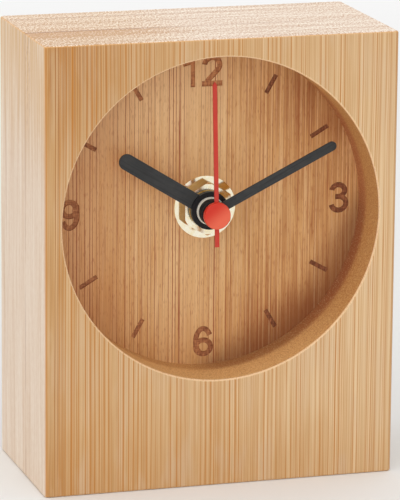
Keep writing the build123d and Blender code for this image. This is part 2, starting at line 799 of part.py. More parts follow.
front_board, middle_board, back_board = case_boards()
nodes = {
    "front_board": front_board,
    "middle_board": middle_board,
    "back_board": back_board,
    "threaded_bushing": threaded_bushing(),
    "brass_washer": brass_washer(),
    "hex_nut": hex_nut(),
    "rubber_gasket": rubber_gasket(),
    "hour_hand": hour_hand(),
    "minute_hand": minute_hand(),
    "second_hand": second_hand(),
    "hour_wheel": hour_wheel(),
    "minute_wheel": minute_wheel(),
    "second_wheel": second_wheel(),
    "third_wheel": third_wheel(),
    "intermediate_wheel": intermediate_wheel(),
    "rotor_pinion": rotor_pinion(),
    "rotor_magnet": rotor_magnet(),
    "motion_wheel": motion_wheel(),
    "set_pinion": set_pinion(),
    "set_knob": set_knob(),
    "stator": stator(),
    "coil_core": coil_core(),
    "coil_bobbin": coil_bobbin(),
    "coil_winding": coil_winding(),
    "circuit_board": circuit_board(),
    "quartz_crystal": quartz_crystal(),
    "clock_chip": clock_chip(),
    "battery_cell": battery_cell(),
    "negative_contact": negative_contact(),
    "positive_contact": positive_contact(),
    "movement_housing": movement_housing(),
    "movement_cover": movement_cover(),
    "train_bridge": train_bridge(),
}
os.makedirs("parts", exist_ok=True)
for name, solid in nodes.items():
    export_step(solid, f"parts/{name}.step")
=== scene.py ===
"""Looks of a bamboo table clock: grain, engraved dial, brass, hands and quartz movement.

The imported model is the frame, in metres. Its pieces keep their shapes and get their finishes here,
the dial's marks are cut into the front board, and the movement gets its moulded signs.
Patterns are worked out in millimetres: x to the right and z up from the shaft, and the frame's y.
"""
import math

import bmesh
import bpy
from bpy.props import FloatProperty, FloatVectorProperty, PointerProperty
from mathutils import Matrix, Vector


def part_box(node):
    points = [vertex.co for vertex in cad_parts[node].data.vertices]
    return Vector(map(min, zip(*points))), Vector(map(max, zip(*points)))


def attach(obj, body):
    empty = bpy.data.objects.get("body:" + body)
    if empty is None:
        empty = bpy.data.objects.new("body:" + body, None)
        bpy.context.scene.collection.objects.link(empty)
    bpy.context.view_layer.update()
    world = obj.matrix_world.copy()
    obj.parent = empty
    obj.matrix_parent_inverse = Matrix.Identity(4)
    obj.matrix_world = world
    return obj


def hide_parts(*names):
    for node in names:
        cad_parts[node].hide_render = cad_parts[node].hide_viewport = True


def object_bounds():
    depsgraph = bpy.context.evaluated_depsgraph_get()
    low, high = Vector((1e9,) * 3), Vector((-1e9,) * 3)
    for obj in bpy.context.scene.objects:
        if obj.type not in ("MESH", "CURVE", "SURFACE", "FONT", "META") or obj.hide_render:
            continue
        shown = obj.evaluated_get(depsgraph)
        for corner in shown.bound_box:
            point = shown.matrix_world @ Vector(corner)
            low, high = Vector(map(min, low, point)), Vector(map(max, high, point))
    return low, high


bl_info = {
    "name": "Bamboo table clock",
    "version": (1, 0, 0),
    "blender": (4, 5, 0),
    "location": "View3D > Sidebar > Clock",
    "description": "Dresses the packed table clock in bamboo, brass and moulded plastic",
    "category": "Object",
}

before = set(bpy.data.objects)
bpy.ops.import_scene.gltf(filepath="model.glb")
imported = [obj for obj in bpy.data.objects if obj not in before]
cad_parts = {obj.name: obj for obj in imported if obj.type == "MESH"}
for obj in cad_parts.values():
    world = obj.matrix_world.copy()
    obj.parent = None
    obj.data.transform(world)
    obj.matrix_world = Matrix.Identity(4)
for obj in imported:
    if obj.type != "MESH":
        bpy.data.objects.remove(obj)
cad_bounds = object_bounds()

MM = 0.001
DIAL_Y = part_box("brass_washer")[1].y
SHAFT = sum(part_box("brass_washer"), Vector()) / 2
KNOB = sum(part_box("set_knob"), Vector()) / 2

# Places for the patterns, in millimetres
LEFT = (cad_bounds[0][0] - SHAFT.x) / MM
FOOT = (cad_bounds[0][2] - SHAFT.z) / MM
TOP = (cad_bounds[1][2] - SHAFT.z) / MM
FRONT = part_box("front_board")[0].y / MM
FRONT_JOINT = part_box("middle_board")[0].y / MM
BACK_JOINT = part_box("back_board")[0].y / MM
DIAL = DIAL_Y / MM
BATTERY_LEFT, BATTERY_RIGHT = ((corner.x - SHAFT.x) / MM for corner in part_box("battery_cell"))
RECESS = max(
    math.hypot(v.co.x - SHAFT.x, v.co.z - SHAFT.z) / MM
    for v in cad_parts["front_board"].data.vertices
    if abs(v.co.y - DIAL_Y) < 0.1 * MM
)

# Reaches of the stains and lines on the block, in millimetres
STAIN_REACH = 34.0
STAIN_CORE = 6.0
DARK_FOOT = 22.0
DARK_CROWN = 40.0
BOLD_EDGE = 5.5
WARM_SIDE = 36.0
GLUE_WIDTH = 0.9
# Width of the rim's pale band of sanded wood and painted highlight
RIM = 0.3
# How far a face looks to a side before it starts to take that side's grain, and has it all
TURNED = (0.6, 0.8)
# Bare steel at the battery's ends, and the pale band's edges from its right end, in millimetres
BARE_LEFT = 0.7
BARE_RIGHT = 1.9
BAND_FROM = 13.0
BAND_TO = 10.0

# Width and place of each light, in metres
LIGHTS = {
    "front_light": (2.2, (-0.5, -1.6, 0.9)),
    "left_light": (2.0, (-1.7, -0.4, 0.7)),
    "top_light": (2.2, (0.0, 0.1, 1.7)),
}
FLOOR_REACH = 4.0
FLOOR_GAP = 0.05 * MM
# Distances in millimetres between which the floor turns white to the camera
WHITENING = (160.0, 900.0)
WHITE = (1.0, 1.0, 1.0, 1.0)

ARC_STEPS = 24
SHARP_EDGE = math.radians(25)
# Places of the 1 and the 2 in the 12, in numeral widths from its middle
ONE_SHIFT = -0.49
TWO_SHIFT = 0.46
# How much lower each stroke of the signs is than the one before, so that no two tops share a plane
SIGN_STEP = 0.1


def srgb(red, green, blue):
    """Linear colour of a colour written in the 0 to 255 values of a screen."""
    return tuple(((v / 255 + 0.055) / 1.055) ** 2.4 for v in (red, green, blue))


def colour(name, value, description):
    return FloatVectorProperty(
        name=name, description=description, default=srgb(*value), min=0, max=1, subtype="COLOR"
    )


def number(name, value, description, **kind):
    return FloatProperty(name=name, description=description, default=value, **kind)


def length(name, value_mm, description):
    return number(name, value_mm * MM, description, unit="LENGTH")


def degrees(name, value, description):
    return number(name, math.radians(value), description, subtype="ANGLE")


class BambooLook(bpy.types.PropertyGroup):
    """Colours and grain of the three boards."""

    strip_deep: colour("Deep strip", (174, 117, 64), "Stained strips round the upper left corner")
    strip_dark: colour("Dark strip", (196, 147, 91), "Dark strips of the front")
    strip_mid: colour("Middle strip", (216, 178, 131), "Usual strips of the front")
    strip_light: colour("Light strip", (231, 199, 156), "Palest strips of the front")
    strip_grey: colour("Grey strip", (214, 182, 146), "Faded patches of the front")
    fibre_line: colour("Fibre line", (190, 120, 38), "Thin lines between the strips")
    side_dark: colour("Side streak", (204, 166, 128), "Streaks of the sides")
    side_light: colour("Side", (237, 220, 202), "Pale ground of the sides")
    side_warm: colour("Warm side", (218, 178, 126), "Stained upper part of the sides")
    end_dark: colour("End grain pore", (194, 146, 104), "Pores of the top and bottom")
    end_light: colour("End grain", (254, 243, 228), "Pale ground of the top and bottom")
    edge: colour("Edge", (226, 170, 104), "Sanded edges of the block")
    # Pale sanded rim, with a painted highlight on it as well
    rim: colour("Rim", (248, 212, 166), "Sanded rim of the recess")
    glue: colour("Glue line", (168, 116, 82), "Joint between two boards")
    dial_dark: colour("Dark dial strip", (177, 118, 68), "Darkest strips of the dial")
    dial_mid: colour("Middle dial strip", (215, 163, 104), "Usual strips of the dial")
    dial_light: colour("Light dial strip", (236, 195, 143), "Palest strips of the dial")
    dial_shade: colour("Dial stain", (198, 124, 64), "Redder wood at the left of the dial")
    dial_dash: colour("Dial fibre", (148, 56, 2), "Short dark fibres of the dial")
    # Painted shade where the recess wall meets the dial at the lower right
    dial_foot_shade: colour("Dial foot", (120, 66, 38), "Darkest stain at the lower right of the dial")
    wall_outer: colour("Outer wall", (198, 150, 92), "Wall of the recess near its rim")
    # Painted shade of the wall next to the dial
    wall_inner_shade: colour("Inner wall", (186, 125, 82), "Wall of the recess near the dial")
    wall_end: colour("Wall end grain", (222, 176, 115), "Wall where it cuts across the fibres")
    cut_from: length("Cut from", 37.0, "Place in the plank from which the front was cut")
    strip_width: length("Strip width", 1.1, "Usual width of a strip on the front")
    dial_joint: length("Dial joint", 5.0, "Place of the joint in the dial, right of the shaft")
    # Past this depth the wall takes its painted shade
    wall_band: length("Wall band", 9.8, "Depth of the lighter band of the recess wall")
    gloss: number("Roughness", 0.5, "Roughness of the oiled wood", subtype="FACTOR")


class DialMarks(bpy.types.PropertyGroup):
    """Numerals and hour bars cut into the dial."""

    height: length("Numeral height", 7.0, "Height of the numerals")
    width: length("Numeral width", 4.65, "Width of a round numeral")
    stroke: length("Stroke", 1.2, "Width of the numerals' strokes")
    ring: length("Numeral ring", 30.8, "Radius on which the numerals are centred")
    twelve_drop: length("Twelve drop", 0.35, "How much nearer to the shaft the 12 is cut")
    three_reach: length("Three reach", 0.5, "How much further from the shaft the 3 is cut")
    lean: length("Lean", 0.3, "How far the 12 and the 6 are cut left of the shaft")
    bar_inner: length("Bar start", 28.5, "Radius at which the hour bars start")
    bar_outer: length("Bar end", 33.1, "Radius at which the hour bars end")
    bar_width: length("Bar width", 1.0, "Width of the hour bars")
    depth: length("Depth", 0.25, "Depth of the cut")
    turn: degrees("Turn", 0.5, "Turn of all the marks to the left")
    floor_dark: colour("Burnt grain", (118, 70, 48), "Darkest grain of the burnt floor")
    floor_light: colour("Burnt wood", (156, 98, 66), "Usual tone of the burnt floor")
    # Partly fainter burning and partly painted light that lifts the marks out of the recess wall's
    # shade
    floor_faint_and_lit: colour("Faint wood", (200, 138, 92), "Burnt floor at the top and left of the dial")


class FittingLook(bpy.types.PropertyGroup):
    """Brass fittings and painted hands."""

    brass: colour("Brass", (255, 249, 228), "Polished brass of the nut and washer")
    brass_worn: colour("Worn brass", (250, 236, 198), "Brass along the turning marks")
    brass_flat: colour("Brass flats", (178, 136, 70), "Duller brass of the nut's flats and thread")
    hand: colour("Hand", (50, 51, 51), "Paint of the hour and minute hands")
    hand_worn: colour("Hand speckle", (60, 60, 60), "Palest specks of that paint")
    hub: colour("Hub", (24, 23, 26), "Bushes of the hour and minute hands")
    hand_back: colour("Hand back", (232, 200, 130), "Bare sheet on the back of the hands")
    second: colour("Second hand", (194, 58, 46), "Paint of the second hand")
    second_worn: colour("Second hand tone", (204, 66, 52), "Palest areas of that paint")
    cap: colour("Cap", (211, 52, 34), "Cap in the middle of the second hand")
    # Painted sheen: the paler lower right of the cap stands for a reflection on its gloss
    cap_sheen: colour("Faded cap", (234, 104, 76), "Side of the cap that light has faded")


class MovementLook(bpy.types.PropertyGroup):
    """Quartz movement at the back."""

    housing: colour("Housing", (38, 38, 40), "Moulded housing and cover")
    knob: colour("Knob", (58, 58, 60), "Setting knob")
    gear: colour("Wheels", (226, 223, 212), "Moulded wheels of the train")
    board: colour("Circuit board", (28, 98, 56), "Resist on the circuit board")
    copper: colour("Winding", (196, 116, 62), "Lacquered wire of the coil")
    wire: length("Wire", 0.12, "Diameter of that wire")
    bobbin: colour("Bobbin", (120, 118, 112), "Moulded bobbin of the coil")
    chip: colour("Chip", (24, 24, 26), "Resin of the clock chip")
    steel: colour("Steel", (196, 198, 202), "Stator, coil core, contacts and crystal can")
    steel_dull: colour("Dull steel", (150, 152, 156), "Steel along its working marks")
    magnet: colour("Magnet", (92, 92, 96), "Rotor magnet")
    magnet_dull: colour("Dull magnet", (66, 66, 70), "Magnet along its working marks")
    sleeve: colour("Battery sleeve", (70, 78, 86), "Sleeve of the battery")
    sleeve_band: colour("Battery band", (206, 208, 206), "Pale band round the battery")
    battery_steel: colour("Battery ends", (206, 206, 208), "Bare steel at both ends of the battery")
    # Painted highlight: the signs are lighter than the cover to stand for the light their polished
    # relief catches
    sign: colour("Sign", (104, 104, 103), "Raised signs, polished by the mould")
    sign_height: length("Sign height", 3.0, "Height of the moulded signs")
    sign_stroke: length("Sign stroke", 0.7, "Width of the signs' strokes")
    sign_rise: length("Sign rise", 0.3, "How far the signs stand proud of the cover")


class StageLook(bpy.types.PropertyGroup):
    """Floor, light and camera."""

    floor: colour("Floor", (240, 239, 237), "Pale floor")
    sky: number("Sky", 0.48, "Strength of the light from all round", subtype="FACTOR")
    front_light: number("Front light", 13.0, "Power of the front light", unit="POWER")
    left_light: number("Left light", 9.0, "Power of the left light", unit="POWER")
    top_light: number("Top light", 15.0, "Power of the top light", unit="POWER")
    lens: number("Lens", 276.9, "Focal length in millimetres")
    yaw: degrees("Yaw", 16.75, "Turn of the view")
    pitch: degrees("Pitch", 13.36, "Fall of the view")
    roll: degrees("Roll", 0.46, "Roll of the view")
    eye: FloatVectorProperty(
        name="Eye",
        description="Place of the camera",
        default=(-0.239757, -0.799638, 0.246970),
        subtype="TRANSLATION",
    )


def opaque(value):
    """Colour with the fourth number that a socket asks for; a node's output stays as it is."""
    return value if isinstance(value, bpy.types.NodeSocket) else (*value, 1.0)


class NodeTree:
    """Node tree under construction, with short calls for the nodes that it needs."""

    def __init__(self, tree):
        self.tree = tree

    def feed(self, socket, value):
        """Links a socket to a node's output, or sets it to a value."""
        if isinstance(value, bpy.types.NodeSocket):
            self.tree.links.new(value, socket)
        else:
            socket.default_value = value

    def node(self, kind, inputs, output=0, **settings):
        """Output of a new node whose inputs are given by name or number."""
        made = self.tree.nodes.new(kind)
        for key, value in settings.items():
            setattr(made, key, value)
        for key, value in inputs.items():
            self.feed(made.inputs[key], value)
        return made.outputs[output]

    def math(self, operation, *values):
        return self.node("ShaderNodeMath", dict(enumerate(values)), operation=operation)

    def seen(self):
        """1 for rays from the camera, a mirror or glass, and 0 for rays that light other things."""
        path = self.tree.nodes.new("ShaderNodeLightPath")
        seen = path.outputs["Is Camera Ray"]
        for ray in ("Is Glossy Ray", "Is Transmission Ray"):
            seen = self.math("MAXIMUM", seen, path.outputs[ray])
        return seen


class Finish(NodeTree):
    """Material under construction; its spot is x, y and z on the piece, as the patterns take them."""

    def __init__(self, name):
        self.material = bpy.data.materials.new(name)
        self.material.use_nodes = True
        super().__init__(self.material.node_tree)
        self.shader = self.tree.nodes["Principled BSDF"]
        here = self.node("ShaderNodeTexCoord", {}, "Object")
        axis = Vector((SHAFT.x, 0.0, SHAFT.z))
        moved = self.node("ShaderNodeVectorMath", {0: here, 1: axis}, operation="SUBTRACT")
        scaled = self.node("ShaderNodeVectorMath", {0: moved, "Scale": 1 / MM}, operation="SCALE")
        self.spot = self.split(scaled)

    def surface(self, **inputs):
        """Inputs of the shader, with the spaces in their names written as underscores."""
        for key, value in inputs.items():
            socket = self.shader.inputs[key.replace("_", " ")]
            self.feed(socket, opaque(value) if key.endswith("Color") else value)

    def bump(self, height, depth_mm, strength):
        """Fine relief of the surface."""
        inputs = {"Height": height, "Strength": strength, "Distance": depth_mm * MM}
        self.surface(Normal=self.node("ShaderNodeBump", inputs))

    def split(self, vector):
        """The three numbers of a vector."""
        made = self.tree.nodes.new("ShaderNodeSeparateXYZ")
        self.feed(made.inputs[0], vector)
        return made.outputs[:]

    def normal(self):
        return self.node("ShaderNodeTexCoord", {}, "Normal")

    def facing(self):
        """How far the surface faces left or right, front or back, and up or down."""
        return self.split(self.node("ShaderNodeVectorMath", {0: self.normal()}, operation="ABSOLUTE"))

    def times(self, product, *others):
        """Product of values."""
        for value in others:
            product = self.math("MULTIPLY", product, value)
        return product

    def weighted(self, *pairs, plus=0.0):
        """Sum of values times their weights, plus one more value."""
        total = plus
        for value, weight in pairs:
            total = self.math("MULTIPLY_ADD", value, weight, total)
        return total

    def about(self, mean, spread, pattern):
        """Value that a pattern between 0 and 1 moves about its mean."""
        return self.weighted((pattern, spread), plus=mean - spread / 2)

    def swing(self, pattern):
        """Pattern between 0 and 1, moved to swing about 0."""
        return self.math("SUBTRACT", pattern, 0.5)

    def reach(self, first, second):
        """Distance from the point where both coordinates are 0."""
        squares = self.math("ADD", self.math("POWER", first, 2.0), self.math("POWER", second, 2.0))
        return self.math("SQRT", squares)

    def step(self, value, low, high):
        """Smooth step from 0 at low to 1 at high."""
        inputs = {"Value": value, "From Min": low, "From Max": high}
        return self.node("ShaderNodeMapRange", inputs, interpolation_type="SMOOTHSTEP")

    def between(self, value, low, high, blur):
        """1 between two values and 0 outside, with soft ends."""
        rise = self.step(value, low - blur, low + blur)
        fall = self.step(value, high - blur, high + blur)
        return self.math("SUBTRACT", rise, fall)

    def stretched(self, scales, spot=None):
        """Spot whose axes are scaled one by one, for a pattern that runs along one of them."""
        parts = [self.times(value, scale) for value, scale in zip(spot or self.spot, scales)]
        return self.node("ShaderNodeCombineXYZ", dict(enumerate(parts)))

    def noise(self, scales, detail=2.0, roughness=0.5, spot=None):
        """Noise between 0 and 1, with its changes per millimetre along each axis."""
        vector = self.stretched(scales, spot)
        inputs = {"Vector": vector, "Scale": 1.0, "Detail": detail, "Roughness": roughness}
        return self.node("ShaderNodeTexNoise", inputs, "Fac")

    def strips(self, place):
        """Random value of each strip along a line, and the distance to the strip's edge."""
        kind = "ShaderNodeTexVoronoi"
        inputs = {"W": place, "Scale": 1.0}
        tone = self.node(kind, inputs, "Color", voronoi_dimensions="1D")
        edge = self.node(kind, inputs, "Distance", voronoi_dimensions="1D", feature="DISTANCE_TO_EDGE")
        return self.split(tone)[0], edge

    def over(self, ground, tone, *amounts):
        """Ground colour with a tone laid over it, by the product of the amounts."""
        inputs = {0: self.times(*amounts), 6: opaque(ground), 7: opaque(tone)}
        return self.node("ShaderNodeMix", inputs, 2, data_type="RGBA")

    def ramp(self, value, *stops):
        """Colour from a value by stops of (place, colour)."""
        made = self.tree.nodes.new("ShaderNodeValToRGB")
        elements = made.color_ramp.elements
        while len(elements) < len(stops):
            elements.new(1.0)
        for element, (place, tone) in zip(elements, stops):
            element.position = place
            element.color = opaque(tone)
        self.feed(made.inputs[0], value)
        return made.outputs[0]


def corner_stain(finish):
    """Darker wood round the upper left corner of the front, from 1 at the corner to 0."""
    corner = Vector((LEFT, FRONT + 8.0, TOP))
    here = finish.node("ShaderNodeCombineXYZ", dict(enumerate(finish.spot)))
    distance = finish.node("ShaderNodeVectorMath", {0: here, 1: corner}, "Value", operation="DISTANCE")
    return finish.step(distance, STAIN_REACH, STAIN_CORE)


def fibre_lines(finish, wood, place, along, tone, strength, width=0.2):
    """Wood with a thin line at some of the edges of strips, which fades along its length."""
    strip_tone, edge = finish.strips(place)
    line = finish.step(edge, width, 0.3 * width)
    shown = finish.step(finish.weighted((strip_tone, 0.6), (along, 0.7)), 0.36, 0.8)
    return finish.over(wood, tone, line, shown, strength)


def front_grain(finish, stain, look):
    """Upright strips of the front and back: tones, thin fibre lines and fine fibres."""
    x, y, z = finish.spot
    bend = finish.noise((0.02, 0.0, 0.012))
    bent = finish.weighted((x, 1.0), (bend, 1.2), plus=look.cut_from / MM)
    spot = (bent, y, z)
    strip = finish.times(bent, MM / look.strip_width)
    tone, _ = finish.strips(strip)
    fibre = finish.noise((2.4, 0.3, 0.03), detail=3.0, spot=spot)
    along = finish.noise((1.2, 0.1, 0.04), spot=spot)
    cloud = finish.noise((0.22, 0.1, 0.05), detail=3.0, spot=spot)
    above_foot = finish.step(z, FOOT, FOOT + DARK_FOOT)
    crown = finish.step(z, 0.0, DARK_CROWN)
    near_left = finish.step(x, LEFT + BOLD_EDGE, LEFT + 2.0)
    bold = finish.times(near_left, finish.swing(tone))
    drift = finish.weighted((x, 0.003), (stain, -0.07), (above_foot, 0.12), (crown, -0.07), plus=0.24)
    value = finish.weighted(
        (tone, 0.12), (fibre, 0.54), (along, 0.12), (cloud, 0.22), (bold, 0.1), plus=drift
    )
    tones = [(0.3, look.strip_deep), (0.54, look.strip_dark)]
    tones += [(0.8, look.strip_mid), (1.0, look.strip_light)]
    wood = finish.ramp(value, *tones)
    lightened = finish.times(finish.step(cloud, 0.46, 0.62), finish.weighted((above_foot, -0.25), plus=0.6))
    wood = finish.over(wood, look.strip_grey, lightened)
    strength = finish.weighted((near_left, 0.1), (stain, 0.1), plus=0.85)
    wood = fibre_lines(finish, wood, strip, along, look.fibre_line, strength)
    wood = fibre_lines(finish, wood, finish.times(strip, 2.3), along, look.fibre_line, 0.5, 0.3)
    left_lines = finish.weighted((near_left, 0.9), (stain, 0.7))
    for density in (1.3, 1.7):
        more = finish.times(strip, density)
        wood = fibre_lines(finish, wood, more, along, look.strip_deep, left_lines, 0.25)
    return wood, fibre


def side_grain(finish, stain, look):
    """Soft streaks of the left and right sides, warmer and livelier towards the top."""
    _, y, z = finish.spot
    streak = finish.noise((0.2, 0.34, 0.008), detail=3.0)
    fibre = finish.noise((2.4, 1.0, 0.03))
    dash = finish.noise((3.0, 1.2, 0.6))
    high = finish.step(z, TOP - WARM_SIDE, TOP - 2.0)
    lively = finish.times(high, finish.swing(fibre))
    value = finish.weighted(
        (streak, 0.4), (fibre, 0.5), (dash, 0.2), (lively, 0.8), (stain, -0.08), plus=-0.05
    )
    pale = finish.ramp(value, (0.2, look.side_dark), (0.66, look.side_light))
    stained = finish.weighted((finish.step(fibre, 0.62, 0.4), 0.5), plus=0.3)
    warm = finish.over(pale, look.side_warm, high, stained)
    heart = finish.between(y, FRONT_JOINT - 5.0, FRONT_JOINT, 1.5)
    flecks = finish.times(heart, high, finish.step(dash, 0.45, 0.65), 0.4)
    return finish.over(warm, look.glue, flecks)


def end_grain(finish, stain, look):
    """Speckle of cut fibres on the top and bottom, with long faint bands."""
    x, y, _ = finish.spot
    speckle = finish.noise((3.0, 0.9, 1.0), roughness=0.7)
    band = finish.noise((0.02, 0.42, 0.1), detail=3.0)
    heart = finish.between(y, FRONT + 9.5, FRONT_JOINT - 0.5, 1.0)
    left = finish.step(x, 2.0, -20.0)
    dark_band = finish.times(heart, left)
    pores = finish.times(finish.swing(speckle), finish.math("ADD", left, 0.85))
    value = finish.weighted((band, 0.3), (dark_band, -0.17), (left, -0.01), (stain, -0.06), plus=pores)
    wood = finish.ramp(value, (0.0, look.end_dark), (0.26, look.end_light))
    return finish.over(wood, look.side_warm, left, 0.25)


def glue_lines(finish, wood, look):
    """Wood with the two joints between the boards drawn as thin lines that come and go."""
    x, y, _ = finish.spot
    patchy = finish.step(finish.noise((0.05, 0.0, 0.05)), 0.36, 0.6)
    on_top_left = finish.times(finish.facing()[2], finish.step(x, 12.0, -22.0))
    shown = finish.math("MAXIMUM", finish.times(patchy, 0.4), on_top_left)
    for joint, strength in ((FRONT_JOINT, 0.85), (BACK_JOINT, 0.4)):
        line = finish.between(y, joint - GLUE_WIDTH / 2, joint + GLUE_WIDTH / 2, 0.2)
        wood = finish.over(wood, look.glue, line, shown, strength)
    return wood


def foot_shade(finish):
    """Painted shade along the foot of the recess wall at the lower right, up to 1 at the wall."""
    x, _, z = finish.spot
    low_right_shade = finish.step(finish.weighted((x, 0.7), (z, -0.7)), 21.0, 29.0)
    outer = finish.step(finish.reach(x, z), 26.0, RECESS)
    return finish.times(low_right_shade, outer)


def dial_grain(finish, look):
    """Dial of two joined strips, the right one redder, with fibre lines and short dark fibres, painted
    shade by the wall at the lower right and painted light at the upper left.
    """
    x, _, z = finish.spot
    joint = look.dial_joint / MM
    wander = finish.noise((0.4, 0.0, 0.002))
    strip = finish.weighted((x, 1.05), (wander, 1.7))
    tone, _ = finish.strips(strip)
    fibre = finish.noise((2.6, 0.3, 0.05), detail=3.0)
    along = finish.noise((1.3, 0.1, 0.07))
    cloud = finish.noise((0.09, 0.0, 0.035), detail=3.0)
    mottle = finish.noise((0.24, 0.0, 0.05), detail=4.0, roughness=0.65)
    right = finish.step(x, joint - 0.4, joint + 0.4)
    # Painted shade darkens the lower right by the wall, painted light lifts the upper left out of the
    # wall's shade, and the upper right is darker
    low_right_shade = finish.times(finish.step(x, 6.0, 16.0), finish.step(z, -16.0, -26.0))
    high_left_light = finish.times(finish.step(x, 10.0, -18.0), finish.step(z, 8.0, 30.0))
    high_right = finish.times(finish.step(x, 8.0, 22.0), finish.between(z, 14.0, 30.0, 5.0))
    patchy = finish.times(finish.swing(mottle), right)
    corners = finish.weighted((low_right_shade, -0.16), (high_right, -0.2), (high_left_light, 0.2), plus=0.21)
    drift = finish.weighted((right, -0.17), (z, 0.0022), plus=corners)
    value = finish.weighted(
        (tone, 0.12), (fibre, 0.45), (along, 0.16), (cloud, 0.4), (patchy, 0.5), plus=drift
    )
    wood = finish.ramp(value, (0.4, look.dial_dark), (0.62, look.dial_mid), (0.9, look.dial_light))
    wood = finish.over(wood, look.dial_shade, finish.step(x, -10.0, -30.0), 0.38)
    dark_lines = finish.weighted((right, -0.4), plus=0.9)
    wood = fibre_lines(finish, wood, strip, along, look.dial_dash, dark_lines, 0.14)
    wood = fibre_lines(finish, wood, finish.times(strip, 2.1), along, look.dial_dash, 0.2, 0.3)
    pale_lines = finish.times(right, 0.6)
    wood = fibre_lines(finish, wood, finish.times(strip, 0.9), along, look.dial_light, pale_lines)
    for scales, strength in (((2.6, 0.2, 0.06), 0.3), ((4.0, 0.2, 0.6), 0.32)):
        dash = finish.step(finish.noise(scales, detail=1.0), 0.56, 0.74)
        wood = finish.over(wood, look.dial_dash, dash, strength)
    # Painted shade along the wall's foot at the lower right
    return finish.over(wood, look.dial_foot_shade, foot_shade(finish), 0.6)


def wall_grain(finish, look):
    """Recess wall: a light band behind the rim, then a darker band of painted shade near the dial;
    paler where fibres end in it.
    """
    edge = FRONT + look.wall_band / MM
    grain = finish.noise((2.2, 2.2, 2.2), detail=4.0, roughness=0.7)
    fuzz = finish.noise((4.0, 1.6, 4.0), roughness=0.7)
    band = finish.step(finish.weighted((grain, 2.4), plus=finish.spot[1]), edge - 1.0, edge + 2.0)
    end_cut = finish.step(finish.facing()[2], 0.5, 1.0)
    light = finish.over(look.wall_outer, look.wall_end, end_cut)
    # Painted shade on the band next to the dial
    dark = finish.over(look.wall_inner_shade, look.wall_outer, end_cut)
    wood = finish.over(light, dark, band)
    # The band next to the dial takes more painted shade at the lower right
    wood = finish.over(wood, look.dial_foot_shade, band, foot_shade(finish), 0.5)
    wood = finish.over(wood, look.dial_dash, finish.step(fuzz, 0.56, 0.36), 0.4)
    return finish.over(wood, look.strip_light, finish.step(fuzz, 0.54, 0.72), 0.4)


def recess(finish, wood, look):
    """Wood with the round recess in it: a sanded rim with a painted highlight, the wall and the dial.
    """
    x, y, z = finish.spot
    radius = finish.reach(x, z)
    rough = finish.noise((2.4, 1.0, 2.4))
    uneven = finish.weighted((finish.swing(rough), 0.5), plus=radius)
    # Pale rim: sanded wood and a painted highlight
    rim = finish.between(uneven, RECESS - 0.2, RECESS + RIM, 0.08)
    wood = finish.over(wood, look.rim, rim, finish.step(rough, 0.2, 0.55), 0.8)
    inside = finish.math("LESS_THAN", radius, RECESS + RIM)
    past_rim = finish.step(y, FRONT + RIM, FRONT + RIM + 0.2)
    on_dial = finish.math("GREATER_THAN", y, DIAL - 0.05)
    hollow = finish.over(wall_grain(finish, look), dial_grain(finish, look), on_dial)
    return finish.over(wood, hollow, inside, past_rim)


def bamboo(name, look, has_dial=False):
    """Oiled bamboo whose grain follows the way each face was cut from the board."""
    finish = Finish(name)
    facing_side, facing_front, facing_end = finish.facing()
    stain = corner_stain(finish)
    wood, fibre = front_grain(finish, stain, look)
    wood = finish.over(wood, side_grain(finish, stain, look), finish.step(facing_side, *TURNED))
    wood = finish.over(wood, end_grain(finish, stain, look), finish.step(facing_end, *TURNED))
    flattest = finish.math("MAXIMUM", finish.math("MAXIMUM", facing_side, facing_end), facing_front)
    edge = finish.over(look.fibre_line, look.edge, finish.step(facing_end, 0.2, 0.4))
    wood = finish.over(wood, edge, finish.step(flattest, 0.93, 0.8), 0.5)
    wood = glue_lines(finish, wood, look)
    if has_dial:
        wood = recess(finish, wood, look)
    roughness = finish.about(look.gloss, 0.2, fibre)
    finish.surface(Base_Color=wood, Roughness=roughness, Specular_IOR_Level=0.35)
    finish.bump(fibre, 0.06, 0.35)
    return finish.material


def burnt_wood(name, marks):
    """Scorched floor of the engraved marks, with the grain still in it, lighter at the top and left:
    partly fainter burning, partly painted light against the recess wall's shade.
    """
    finish = Finish(name)
    x, _, z = finish.spot
    upright = finish.noise((3.0, 0.3, 0.7), roughness=0.6)
    level = finish.noise((0.6, 0.3, 3.2), detail=1.0)
    grain = finish.weighted((upright, 0.6), (level, 0.4))
    # Partly fainter burning, partly painted light at the top and left
    high = finish.step(z, 0.7 * marks.ring / MM, marks.ring / MM)
    left = finish.step(x, 12.0, 5.0)
    faint = finish.times(left, finish.weighted((high, 0.45), plus=0.55))
    burnt = finish.weighted((grain, 0.85), (faint, 0.22), plus=0.05)
    tones = [(0.4, marks.floor_dark), (0.56, marks.floor_light), (0.74, marks.floor_faint_and_lit)]
    finish.surface(
        Base_Color=finish.ramp(burnt, *tones),
        Roughness=finish.about(0.72, 0.2, grain),
        Specular_IOR_Level=0.2,
    )
    finish.bump(grain, 0.08, 0.5)
    return finish.material


def polished_metal(name, bright, worn, roughness, grain=(0.9, 0.9, 0.9), flats=None):
    """Metal with faint working marks; flats is the tone of faces that look along the dial."""
    finish = Finish(name)
    marks = finish.noise(grain, detail=4.0, roughness=0.6)
    metal = finish.ramp(marks, (0.35, worn), (0.6, bright))
    gloss = finish.about(roughness, roughness, marks)
    if flats is not None:
        on_flat = finish.step(finish.facing()[1], 0.5, 0.2)
        metal = finish.over(metal, flats, on_flat)
        gloss = finish.weighted((on_flat, 0.3), plus=gloss)
    finish.surface(Base_Color=metal, Metallic=1.0, Roughness=gloss)
    finish.bump(marks, 0.01, 0.15)
    return finish.material


def hand_shape(node):
    """Direction of a hand's tip, and its hub's radius in millimetres, which is its reach to a side."""
    spots = [Vector((v.co.x - SHAFT.x, v.co.z - SHAFT.z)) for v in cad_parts[node].data.vertices]
    outward = max(spots, key=lambda spot: spot.length).normalized()
    return outward, max(abs(spot.cross(outward)) for spot in spots) / MM


